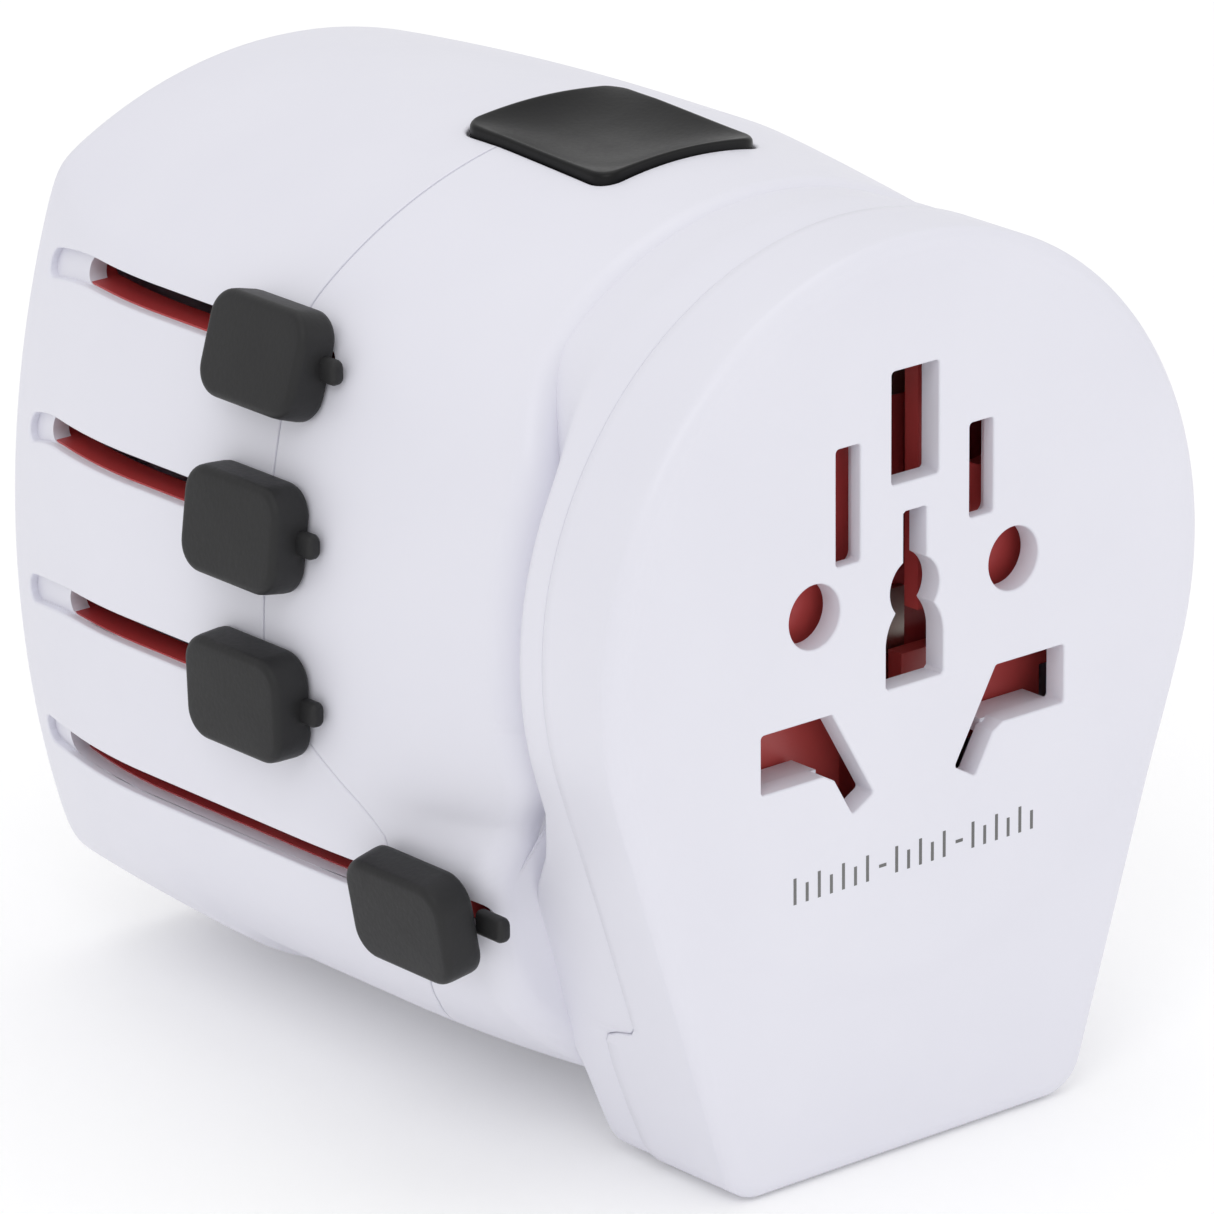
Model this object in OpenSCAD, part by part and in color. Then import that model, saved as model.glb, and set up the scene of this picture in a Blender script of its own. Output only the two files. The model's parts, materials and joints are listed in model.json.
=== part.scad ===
// Universal travel adapter: four sliding plugs at the back, a shuttered multi-standard socket at the front.
// X is to the right seen from the socket, Y runs back towards the plugs, Z is up.
// The origin is on the front face, midway between the two round socket holes.

/* [Case] */
// Half of the case's width at its widest
half_w = 30.2; // [29:0.1:31.5]
// Height of the crown of the case above the origin
top_z = 26.9; // [26:0.1:28]
// Height of the belly of the case, below the origin
bottom_z = -43.4; // [-44.5:0.1:-42.5]
// Where the case starts, behind the socket head
case_y0 = 12.6; // [12:0.1:13]
// Overall length from the front face to the plug face
length_y = 74.2; // [73.5:0.1:76]
// Wall thickness of the shells
wall = 2.2; // [1.8:0.1:2.4]

/* [Socket head] */
// Radius of the round part of the head
head_r = 28.3; // [28:0.1:28.8]
// Height of the head's centre
head_z = -2.3; // [-2.6:0.1:-2]
// Thickness of the front cover at its rim
cover_d = 7.7; // [7.5:0.1:8]
// Thickness of the face plate
plate_d = 2.8; // [2.6:0.1:2.8]
// Half of the width between the chin's corner centres
chin_x = 14; // [13:0.1:15]
// Radius of the chin's corners
chin_r = 3.5; // [2.5:0.1:4]

/* [Sockets] */
// Spacing of the two round holes
eu_pitch = 19; // [19:0.1:19.2]
// Radius of the round holes
eu_hole_r = 2.45; // [2.4:0.05:2.5]
// Spacing of the narrow upright slots
us_pitch = 12.7; // [12.6:0.1:12.8]
// Width of the narrow slots
blade_slot = 2.3; // [2:0.1:2.4]

/* [Sliding plugs] */
// Height of the top side slot
slot_top_z = 14.5; // [14.2:0.1:14.8]
// Height between neighbouring side slots
slot_pitch = 12.4; // [12.3:0.1:12.5]
// Height of a side slot's opening
slot_h = 2.2; // [2.1:0.1:2.3]
// How far the upright blades slide out
us_travel = 17.5; // [15:0.5:17.5]
// How far the round pins slide out
eu_travel = 19.3; // [15:0.1:19.3]
// How far the slanted blades slide out
au_travel = 17.5; // [15:0.5:17.5]
// How far the rectangular pins slide out
uk_travel = 36; // [34:0.5:36]

/* [Knobs] */
// Length of a knob along its slot
knob_l = 11.3; // [10.5:0.1:11.5]
// Height of a knob
knob_h = 8.2; // [7.5:0.1:8.4]
// How far a knob stands out from the case
knob_out = 3.6; // [3:0.1:4]
// How far a knob's middle is above the slot that it runs in
knob_lift = 0.8; // [0:0.1:1]

/* [Release button] */
// Width of the button
button_w = 15; // [14:0.1:15.4]
// Length of the button
button_l = 15; // [14:0.1:15]
// Where the middle of the button is along the case
button_y = 32.4; // [32:0.1:32.6]
// How far the button's rim stands out from the case
button_out = 0.8; // [0:0.1:1]

/* [Hidden] */
$fn = 48;

side_r = 78;
top_r = 39.6;
belly_r = 34.3;
mid_z = -8;
barrel_y = 47;
edge_r = 2.8;
neck_half_w = 26.4;
clear = 0.25;
big = 200;

// Heights of the four side slots, and of the plugs they carry
us_z = slot_top_z;
eu_z = slot_top_z - slot_pitch;
au_z = slot_top_z - 2 * slot_pitch;
uk_z = slot_top_z - 3 * slot_pitch;
uk_line_z = uk_z - 7.4;
uk_earth_z = uk_line_z + 22.2;
uk_line_x = 11.11;
au_x = 6.85;

// Where the knobs rest and where the through slots end
knob_y = 36.7;
uk_knob_y = 19.9;
us_slot_end = 61.9;
eu_slot_end = 64;
au_slot_end = 60.9;
uk_slot_end = 63.4;
slot_front = 31.6;
uk_slot_front = 15.2;
stem_l = 4;
stem_h = slot_h - 0.5;

// The shells part at seam_y, and step forward round the lowest slot
seam_y = 36.6;
seam_low_y = 23;
seam_step_z = -9;
seam_low_z = -19;

// The carriers' back faces stop just short of the plug face
plug_face_y = length_y - 3;
carrier_stop = plug_face_y - 0.3;
carrier_d = 14;

// Socket layers, one behind the other
upper_shutter_y = plate_d + 0.3;
lower_shutter_y = plate_d + 2;
shutter_d = 1.4;
upper_travel = 9;
lower_travel = 7.4;
block_y0 = 7.2;
block_y1 = 15.8;
block_r = 18.7;
block_z = -1;
neck_r = 22;
frame_y0 = 16.4;
frame_y1 = 18;

// Socket pattern: heights and sizes of the openings in the face
us_slot_z = [3.2, 11.9];
earth_slot = [4.5, 8.4];
earth_slot_z = 12.3;
uk_slot_x = [7.9, 14.54];
uk_slot_z = [-12.18, -7.72];
au_slot_start = [8.9, -8.2];
au_slot_l = 8;
keyhole_r = 2.4;

function side_x(z) = half_w - side_r + sqrt(side_r * side_r - (z - mid_z) * (z - mid_z));
function end_taper(y) = side_r - sqrt(side_r * side_r - pow(y - barrel_y, 2));

side_x_end = half_w - end_taper(length_y - edge_r);

module along_y(y0, y1) {
    translate([0, y1, 0]) rotate([90, 0, 0]) linear_extrude(y1 - y0) children();
}

module box(x, y, z) {
    translate([x[0], y[0], z[0]]) cube([x[1] - x[0], y[1] - y[0], z[1] - z[0]]);
}

module rod(x, z, y, r) {
    translate([x, y[1], z]) rotate([90, 0, 0]) cylinder(r = r, h = y[1] - y[0]);
}

// ---- Case outlines ----

// A long barrel along the case whose far end closes in as a sphere
module side_barrel(x, inset) {
    r = side_r - inset;
    translate([x, 0, mid_z]) rotate([-90, 0, 0]) rotate_extrude($fn = 240) {
        translate([0, -20]) square([r, 20 + barrel_y]);
        intersection() {
            translate([0, barrel_y]) circle(r, $fn = 240);
            translate([0, barrel_y]) square([r, 60]);
        }
    }
}

module section_cylinders(inset, y0, y1) {
    intersection() {
        side_barrel(half_w - side_r, inset);
        side_barrel(side_r - half_w, inset);
        rod(0, top_z - top_r, [y0, y1], top_r - inset);
        union() {
            rod(0, bottom_z + belly_r, [y0, y1], belly_r - inset);
            box([inset - belly_r, belly_r - inset], [y0, y1], [bottom_z + belly_r, 40]);
        }
    }
}

// Seen from above: the neck is narrower, and both ends are rounded
module plan(inset, y0, y1) {
    n = neck_half_w - inset;
    e = side_x_end - inset;
    arc = [0 : 22.5 : 90];
    right = concat([for (a = arc) [n - 2 + 2 * sin(a), y0 + 2 - 2 * cos(a)]],
        [[half_w + 1, 33], [half_w + 1, 60]],
        [for (a = arc) [e - edge_r + edge_r * cos(a), y1 - edge_r + edge_r * sin(a)]]);
    last = len(right) - 1;
    translate([0, 0, -60]) linear_extrude(120)
        polygon(concat(right, [for (i = [last : -1 : 0]) [-right[i][0], right[i][1]]]));
}

// Seen from the side: the crown and the belly are rounded at both ends
module profile(inset, y0, y1) {
    t = top_z - inset;
    b = bottom_z + inset;
    r = edge_r;
    arc = [0 : 22.5 : 90];
    rotate([90, 0, 90]) translate([0, 0, -50]) linear_extrude(100)
        polygon(concat([for (a = arc) [y0 + 2 - 2 * cos(a), t - 2 + 2 * sin(a)]],
            [for (a = arc) [y1 - r + r * sin(a), t - r + r * cos(a)]],
            [for (a = arc) [y1 - r + r * cos(a), b + r - r * sin(a)]],
            [for (a = arc) [y0 + 2 - 2 * sin(a), b + 2 - 2 * cos(a)]]));
}

module case_solid(inset, y0, y1) {
    intersection() {
        section_cylinders(inset, y0 - 5, y1 + 5);
        plan(inset, y0, y1);
        profile(inset, y0, y1);
    }
}

module case_shell() {
    difference() {
        case_solid(0, case_y0, length_y);
        case_solid(wall, case_y0 + wall, length_y - 3);
        translate([0, 0, head_z]) along_y(case_y0 - 1, case_y0 + wall + 1) circle(neck_r + 0.1);
        plug_face_seat(0, 1);
        button_opening();
        side_slots();
    }
}

module plug_face_seat(gap, over) {
    section_cylinders(wall + 1.4 + gap, plug_face_y - (gap > 0 ? 0 : 0.5), length_y + over);
}

module rear_half() {
    rotate([90, 0, 90]) translate([0, 0, -50]) linear_extrude(100)
        polygon([[seam_y, 60], [seam_y, seam_step_z], [seam_low_y + 1, seam_low_z],
            [seam_low_y, seam_low_z - 4], [seam_low_y, -60], [big, -60], [big, 60]]);
}

module slot_shape(y0, y1, z) {
    box([-40, -15], [y0, y1 - slot_h / 2], [z - slot_h / 2, z + slot_h / 2]);
    translate([-40, y1 - slot_h / 2, z]) rotate([0, 90, 0]) cylinder(d = slot_h, h = 25);
}

module side_slots() {
    slot_shape(slot_front, us_slot_end, us_z);
    slot_shape(slot_front, eu_slot_end, eu_z);
    slot_shape(slot_front, au_slot_end, au_z);
    slot_shape(uk_slot_front, uk_slot_end, uk_z);
}

module button_opening() {
    box([-button_w / 2 - clear, button_w / 2 + clear],
        [button_y - button_l / 2 - clear, button_y + button_l / 2 + clear], [15, 40]);
}

// Bosses that take the two screws of the plug face
module boss_places() {
    translate([0, 0, 20.6]) children();
    translate([0, 0, -36.6]) rotate([0, 180, 0]) children();
}

module bosses() {
    boss_places() {
        rod(0, 0, [55, plug_face_y], 2);
        box([-0.8, 0.8], [55, plug_face_y], [1, 4.9]);
    }
}

module screw_bores() {
    boss_places() rod(0, 0, [54, length_y + 1], 1.25);
}

// ---- White mouldings ----

module front_shell() {
    color("ghostwhite") difference() {
        case_shell();
        rear_half();
    }
}

module rear_shell() {
    color("ghostwhite") difference() {
        union() {
            intersection() {
                case_shell();
                rear_half();
            }
            bosses();
        }
        screw_bores();
        plug_face_seat(0, 1);
    }
}

module plug_face() {
    color("whitesmoke") difference() {
        plug_face_seat(0.1, -0.5);
        us_blade_shapes([60, 90], clear);
        eu_pin_shapes([60, 90], clear);
        au_blade_shapes([60, 90], clear);
        uk_line_shapes([60, 90], clear);
        uk_earth_shape([60, 90], clear);
        screw_bores();
        boss_places() rod(0, 0, [length_y - 2, length_y + 1], 2.3);
    }
}

module head_outline(inset) {
    hull() {
        translate([0, head_z]) circle(head_r - inset, $fn = 120);
        for (side = [-1, 1]) translate([side * chin_x, bottom_z + 0.2 + chin_r]) circle(chin_r - inset, $fn = 32);
    }
}

module blade_cut(x, z0, z1) {
    box([x - blade_slot / 2, x + blade_slot / 2], [-1, plate_d + 1], [z0, z1]);
}

module slanted_cut(side) {
    translate([side * au_slot_start[0], 0, au_slot_start[1]]) rotate([0, side * 30, 0])
        box([-blade_slot / 2, blade_slot / 2], [-1, plate_d + 1], [-au_slot_l, 0.8]);
}

module socket_holes() {
    for (side = [-1, 1]) {
        rod(side * eu_pitch / 2, 0, [-1, plate_d + 1], eu_hole_r);
        box(side > 0 ? uk_slot_x : [-uk_slot_x[1], -uk_slot_x[0]], [-1, plate_d + 1], uk_slot_z);
        slanted_cut(side);
    }
    blade_cut(-us_pitch / 2, us_slot_z[0], us_slot_z[1]);
    blade_cut(us_pitch / 2, us_slot_z[0] + 0.8, us_slot_z[1] - 0.8);
    box([-earth_slot[0] / 2, earth_slot[0] / 2], [-1, plate_d + 1],
        [earth_slot_z - earth_slot[1] / 2, earth_slot_z + earth_slot[1] / 2]);
    keyhole([-1, plate_d + 1]);
}

module keyhole(y) {
    box([-1.1, 1.1], y, [0, 5.8]);
    rod(0, 0, y, keyhole_r);
    rod(0, -4.4, y, 2.75);
    box([-2.75, 2.75], y, [-7.2, -4.4]);
}

module socket_cover() {
    color("ghostwhite") difference() {
        along_y(0, cover_d) head_outline(0);
        along_y(plate_d, cover_d + 1) head_outline(wall);
        socket_holes();
    }
}

module head_base() {
    color("ghostwhite") {
        difference() {
            along_y(cover_d, case_y0) head_outline(0.2);
            along_y(cover_d - 1, case_y0 - wall) head_outline(wall);
            translate([0, 0, block_z]) along_y(0, 30) circle(block_r + 0.3);
        }
        difference() {
            translate([0, 0, head_z]) along_y(case_y0 - 0.5, frame_y0) circle(neck_r);
            translate([0, 0, block_z]) along_y(0, 30) circle(block_r + 0.3);
            head_screw_places() rod(0, 0, [case_y0, 30], 1.05);
        }
    }
}

// ---- Guide frame and screws ----

module head_screw_places() {
    for (a = [30, 150, -32, -148]) translate([20.5 * cos(a), 0, head_z + 20.5 * sin(a)]) children();
}

module head_screws() {
    color("silver") head_screw_places() {
        rod(0, 0, [case_y0 + 0.2, frame_y1], 1);
        rod(0, 0, [frame_y1, frame_y1 + 1.1], 1.8);
    }
}

module plug_face_screws() {
    color("silver") boss_places() difference() {
        union() {
            rod(0, 0, [58, length_y - 1.9], 1.2);
            rod(0, 0, [length_y - 2, length_y - 0.8], 2.1);
        }
        box([-1.5, 1.5], [length_y - 1.2, length_y], [-0.3, 0.3]);
        box([-0.3, 0.3], [length_y - 1.2, length_y], [-1.5, 1.5]);
    }
}

module guide_frame() {
    color("dimgray") difference() {
        union() {
            translate([0, 0, head_z]) along_y(frame_y0, frame_y1) circle(22);
            box([20.2, 22], [frame_y1 - 0.5, plug_face_y - 3], [-22, 7]);
            box([-4.5, 4.5], [frame_y1 - 0.5, 30.5], [11, 12.5]);
            box([-4.5, 4.5], [frame_y0, frame_y1], [11, 18]);
        }
        difference() {
            translate([0, 0, head_z]) along_y(0, 30) circle(18.6);
            box([-6, 6], [0, 40], [11, 30]);
        }
        head_screw_places() rod(0, 0, [0, 30], 1.05);
        box([19, 23], [26, 60], [-14, 0]);
    }
}

// ---- Socket contacts ----

module contact_pockets(gap) {
    for (side = [-1, 1]) scale([side, 1, 1])
        box([4.4 + gap, 14.8 - gap], [block_y0 - (gap > 0 ? 0 : 1), block_y1 - 2], [-11.8 + gap, 9.7 - gap]);
    box([-3.1 + gap, 3.1 - gap], [block_y0 - (gap > 0 ? 0 : 1), block_y1 - 2], [-7.6 + gap, 16.7 - gap]);
}

module contact_block() {
    color("firebrick") difference() {
        along_y(block_y0, block_y1) translate([0, block_z]) circle(block_r);
        contact_pockets(0);
    }
}

module line_contact(side) {
    x0 = side > 0 ? 4.6 : -14.6;
    box([x0, x0 + 10], [block_y1 - 2.8, block_y1 - 2.1], [-11.6, 9.5]);
    box([x0, x0 + 0.7], [block_y0 + 0.8, block_y1 - 2.1], [-11.6, 9.5]);
    box([x0 + 9.3, x0 + 10], [block_y0 + 0.8, block_y1 - 2.1], [-11.6, 9.5]);
}

module live_contact() {
    color("goldenrod") line_contact(1);
}

module neutral_contact() {
    color("goldenrod") line_contact(-1);
}

module earth_contact() {
    color("goldenrod") {
        box([-2.9, 2.9], [block_y1 - 2.8, block_y1 - 2.1], [-7.4, 16.5]);
        box([-4.8, 4.8], [block_y0 - 0.7, block_y0 - 0.1], [12, 16.5]);
        for (side = [-1, 1]) {
            box([side > 0 ? 2.3 : -2.9, side > 0 ? 2.9 : -2.3], [block_y0 - 0.7, block_y1 - 2.1], [-7.4, 16.5]);
            box(side > 0 ? [2.3, 4.8] : [-4.8, -2.3], [block_y0 - 0.7, block_y0 - 0.1], [-7.4, -2.6]);
        }
    }
}

module busbar(z) {
    color("goldenrod") {
        box([15.8, 16.6], [block_y1 + 0.4, plug_face_y - 4], [z - 1.6, z + 1.6]);
        box([10, 16.6], [block_y1 + 0.1, block_y1 + 0.6], [z - 1.6, z + 1.6]);
    }
}

module live_busbar() {
    busbar(4);
}

module neutral_busbar() {
    busbar(-2);
}

module earth_busbar() {
    busbar(-8);
}

// ---- Shutters ----

// The upper shutter drops to open the round holes and the upright slots
module upper_shutter() {
    y = [upper_shutter_y, upper_shutter_y + shutter_d];
    color("indianred") difference() {
        union() {
            box([-14.5, 14.5], y, [-3.2, 22]);
            box([-20.5, -14], y, [-3.2, 1]);
        }
        box([-3, 3], [0, 10], [-10, 30]);
        for (side = [-1, 1]) {
            rod(side * eu_pitch / 2, upper_travel, [0, 10], eu_hole_r + 0.15);
            box([side * us_pitch / 2 - 1.3, side * us_pitch / 2 + 1.3], [0, 10],
                [us_slot_z[0] + upper_travel - 0.2, us_slot_z[1] + upper_travel - 0.4]);
        }
        translate([0, 0, head_z]) difference() {
            along_y(0, 10) circle(60);
            along_y(-1, 11) circle(head_r - wall - 0.4);
        }
    }
    color("indianred") box([-3.1, 3.1], y, [21, 22]);
}

// The lower shutter rises to open the rectangular and the slanted slots
module lower_shutter() {
    y = [lower_shutter_y, lower_shutter_y + shutter_d];
    color("indianred") difference() {
        union() {
            box([-16.5, 16.5], y, [-25, -7]);
            box([14, 20], y, [-11, -7]);
        }
        box([-3, 3], [0, 10], [-17.5, 0]);
        for (side = [-1, 1]) translate([0, 0, -lower_travel]) {
            box(side > 0 ? [uk_slot_x[0] - 0.2, uk_slot_x[1] + 0.2] : [-uk_slot_x[1] - 0.2, -uk_slot_x[0] + 0.2],
                [0, 10], [uk_slot_z[0] - 0.15, uk_slot_z[1] + 0.15]);
            translate([0, 5, 0]) slanted_cut(side);
        }
    }
}

module coil(x, y, z0, z1, r, wire, turns) {
    for (i = [0 : turns - 1]) translate([x, y, z0 + wire + (z1 - z0 - 2 * wire) * i / (turns - 1)])
        rotate_extrude($fn = 24) translate([r, 0]) circle(wire, $fn = 16);
    for (i = [0 : turns - 2]) translate([x + r, y, z0 + wire + (z1 - z0 - 2 * wire) * i / (turns - 1)])
        cylinder(r = wire * 0.8, h = (z1 - z0 - 2 * wire) / (turns - 1), $fn = 16);
}

module upper_shutter_spring() {
    color("silver") coil(-18, upper_shutter_y + 0.9, -19, -3.3, 0.8, 0.2, 8);
}

module lower_shutter_spring() {
    color("silver") coil(18, lower_shutter_y + 0.9, -6.9, 8, 0.8, 0.2, 8);
}

// ---- Release button ----

module release_button() {
    y = [button_y - button_l / 2, button_y + button_l / 2];
    color([0.12, 0.12, 0.13]) difference() {
        intersection() {
            box([-button_w / 2, button_w / 2], y, [20.5, 30]);
            translate([0, 0, top_z - top_r]) along_y(0, 60) circle(top_r + button_out, $fn = 180);
        }
        translate([0, button_y, top_z + button_out + 17]) sphere(18, $fn = 96);
    }
}

module latch_bar() {
    color("dimgray") {
        box([-5, 15.4], [29.5, 33], [18.7, 20.4]);
        box([13.6, 15.4], [29.5, 33], [-17, 18.7]);
        for (z = [us_z, eu_z, au_z + 2]) box([12.9, 13.6], [29.5, 33], [z - 1, z + 1]);
    }
}

module button_spring() {
    color("silver") coil(0, 25.5, 12.5, 20.4, 2, 0.3, 5);
}

// ---- Plug pins ----

module us_blade_shapes(y, grow) {
    for (side = [-1, 1])
        box([side * us_pitch / 2 - 0.75 - grow, side * us_pitch / 2 + 0.75 + grow], y, [us_z - 3.15 - grow, us_z + 3.15 + grow]);
}

module eu_pin_shapes(y, grow) {
    for (side = [-1, 1]) rod(side * eu_pitch / 2, eu_z, y, 2 + grow);
}

module au_blade_shapes(y, grow) {
    for (side = [-1, 1]) translate([side * au_x, 0, au_z]) rotate([0, side * -30, 0])
        box([-0.8 - grow, 0.8 + grow], y, [-3.15 - grow, 3.15 + grow]);
}

module uk_line_shapes(y, grow) {
    for (side = [-1, 1])
        box([side * uk_line_x - 3.18 - grow, side * uk_line_x + 3.18 + grow], y, [uk_line_z - 2 - grow, uk_line_z + 2 + grow]);
}

module uk_earth_shape(y, grow) {
    box([-2 - grow, 2 + grow], y, [uk_earth_z - 4 - grow, uk_earth_z + 4 + grow]);
}

module us_blades() {
    color("silver") us_blade_shapes([carrier_stop - us_travel, plug_face_y + 1.6], 0);
}

module eu_pins() {
    color("silver") eu_pin_shapes([carrier_stop - eu_travel, plug_face_y + 2.7], 0);
}

module au_blades() {
    color("silver") au_blade_shapes([carrier_stop - au_travel, plug_face_y + 2.6], 0);
}

module uk_line_pins() {
    color("silver") uk_line_shapes([carrier_stop - uk_travel, length_y + 17.7 - uk_travel], 0);
}

module uk_earth_pin() {
    color("silver") uk_earth_shape([carrier_stop - uk_travel, length_y + 22.7 - uk_travel], 0);
}

// ---- Carriers: each joins its pins to the stem that passes through its side slot ----

// The stem passes out through the slot; inside, an arm leads it back to the carrier
module stem(y, y1, z) {
    x = -side_x(z);
    box([x - 2, x + 8], [y - stem_l / 2, y + stem_l / 2], [z - stem_h / 2, z + stem_h / 2]);
    box([x + 4.6, x + 12], [y - stem_l / 2, y1 + 1], [z - 1.8, z + 1.8]);
}

module us_carrier() {
    y1 = carrier_stop - us_travel;
    color("firebrick") {
        box([-17, 8.5], [y1 - carrier_d, y1], [us_z - 3.4, us_z + 2.6]);
        stem(knob_y, y1 - carrier_d, us_z);
    }
}

module eu_carrier() {
    y1 = carrier_stop - eu_travel;
    color("firebrick") {
        box([-20.5, 12], [y1 - carrier_d, y1], [eu_z - 2.3, eu_z + 2.3]);
        stem(knob_y, y1 - carrier_d, eu_z);
    }
}

module au_carrier() {
    y1 = carrier_stop - au_travel;
    y = [y1 - carrier_d, y1];
    color("firebrick") {
        box([-9.4, 9.4], y, [-3.3, -1.1]);
        for (side = [-1, 1]) box([side > 0 ? 4.2 : -9.4, side > 0 ? 9.4 : -4.2], y, [au_z - 3.8, -1.1]);
        box([-21, -9], y, [au_z - 1.8, au_z + 1.8]);
        stem(knob_y, y1 - carrier_d, au_z);
    }
}

module uk_carrier() {
    y1 = carrier_stop - uk_travel;
    y = [y1 - carrier_d - 2, y1];
    color("firebrick") {
        box([-14.4, 14.4], y, [uk_line_z - 2.2, uk_z + 2.2]);
        box([-19.5, -14], y, [uk_z - 2.5, uk_z + 2.2]);
        box([-2.6, 2.6], y, [uk_z, uk_earth_z + 4]);
        stem(uk_knob_y, y1 - carrier_d, uk_z);
    }
}

// ---- Knobs ----

module rounded_block(l, h, r) {
    rotate([0, -90, 0]) linear_extrude(12) {
        square([h - 2 * r, l], center = true);
        square([h, l - 2 * r], center = true);
        for (a = [-1, 1], b = [-1, 1]) translate([a * (h / 2 - r), b * (l / 2 - r)]) circle(r);
    }
}

module knob(y, z) {
    x = side_x(z);
    color([0.2, 0.2, 0.21]) difference() {
        intersection() {
            union() {
                translate([-x + 4, y, z + knob_lift]) rounded_block(knob_l, knob_h, 2.2);
                box([-x - 1.6, -x + 2], [y - knob_l / 2 - 1.4, y], [z - 1, z + 1]);
            }
            translate([side_r - half_w, 0, mid_z]) along_y(-10, 60) circle(side_r + knob_out, $fn = 360);
        }
        translate([side_r - half_w, 0, mid_z]) along_y(-20, 70) circle(side_r + 0.3, $fn = 360);
        box([-x - 2.1, 0], [y - stem_l / 2 - 0.1, y + stem_l / 2 + 0.1], [z - stem_h / 2 - 0.1, z + stem_h / 2 + 0.1]);
    }
}

module us_knob() {
    knob(knob_y, us_z);
}

module eu_knob() {
    knob(knob_y, eu_z);
}

module au_knob() {
    knob(knob_y, au_z);
}

module uk_knob() {
    knob(uk_knob_y, uk_z);
}

socket_cover();
head_base();
front_shell();
rear_shell();
plug_face();
guide_frame();
contact_block();
live_contact();
neutral_contact();
earth_contact();
live_busbar();
neutral_busbar();
earth_busbar();
upper_shutter();
upper_shutter_spring();
lower_shutter();
lower_shutter_spring();
release_button();
latch_bar();
button_spring();
us_carrier();
us_blades();
us_knob();
eu_carrier();
eu_pins();
eu_knob();
au_carrier();
au_blades();
au_knob();
uk_carrier();
uk_line_pins();
uk_earth_pin();
uk_knob();
plug_face_screws();
head_screws();
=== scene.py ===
import json
import math

import bmesh
import bpy
import numpy as np
from mathutils import Matrix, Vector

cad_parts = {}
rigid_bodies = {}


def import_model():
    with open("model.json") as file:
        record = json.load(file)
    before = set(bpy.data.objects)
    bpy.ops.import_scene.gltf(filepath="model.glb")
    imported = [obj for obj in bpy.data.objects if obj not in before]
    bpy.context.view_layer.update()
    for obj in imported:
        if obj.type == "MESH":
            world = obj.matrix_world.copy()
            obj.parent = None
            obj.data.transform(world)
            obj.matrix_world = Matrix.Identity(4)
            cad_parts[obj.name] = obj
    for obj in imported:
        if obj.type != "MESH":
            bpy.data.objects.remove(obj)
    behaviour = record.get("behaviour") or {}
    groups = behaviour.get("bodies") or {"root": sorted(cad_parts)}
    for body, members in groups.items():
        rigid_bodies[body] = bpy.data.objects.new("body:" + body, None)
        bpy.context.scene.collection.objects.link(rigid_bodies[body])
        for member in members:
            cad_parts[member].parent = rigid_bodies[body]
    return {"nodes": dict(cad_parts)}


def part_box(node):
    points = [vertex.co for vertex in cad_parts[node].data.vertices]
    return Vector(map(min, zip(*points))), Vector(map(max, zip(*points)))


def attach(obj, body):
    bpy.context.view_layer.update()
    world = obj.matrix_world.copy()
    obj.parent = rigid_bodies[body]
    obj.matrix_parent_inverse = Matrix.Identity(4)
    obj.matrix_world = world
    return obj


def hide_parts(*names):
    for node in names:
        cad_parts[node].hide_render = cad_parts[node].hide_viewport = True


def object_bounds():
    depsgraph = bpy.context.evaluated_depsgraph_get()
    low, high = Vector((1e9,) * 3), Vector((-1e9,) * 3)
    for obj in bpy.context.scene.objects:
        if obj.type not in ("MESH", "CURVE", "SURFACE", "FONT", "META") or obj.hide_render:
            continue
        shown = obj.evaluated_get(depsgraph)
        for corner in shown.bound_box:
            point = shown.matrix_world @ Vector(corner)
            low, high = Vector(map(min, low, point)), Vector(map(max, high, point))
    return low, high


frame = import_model()
cad_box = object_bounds()


def limits(node):
    """A CAD node's lowest and highest corners, in millimetres."""
    return [np.array([c * 1000 for c in corner]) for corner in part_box(node)]


# ---- Sizes, from the CAD ----

COVER = limits("socket_cover")
FRONT = limits("front_shell")
REAR = limits("rear_shell")
BUTTON = limits("release_button")
HALF_W = REAR[1][0]
TOP = REAR[1][2]
BOTTOM = REAR[0][2]
CASE_Y0 = FRONT[0][1]
CASE_Y1 = REAR[1][1]
SEAM_Y = FRONT[1][1]
SEAM_LOW_Y = REAR[0][1]
COVER_D = COVER[1][1]
HEAD_R = COVER[1][0]
HEAD_Z = COVER[1][2] - HEAD_R
WALL = 2.2
PLATE = 1.9
KNOB_LIFT = 0.8
BUTTON_OUT = 0.75
BUTTON_BACK = 1.2
BUTTON[1][1] += BUTTON_BACK

# ---- Materials ----


GLOSS_SPREAD = 0.06
GRAIN_DEPTH = 0.00005


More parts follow.
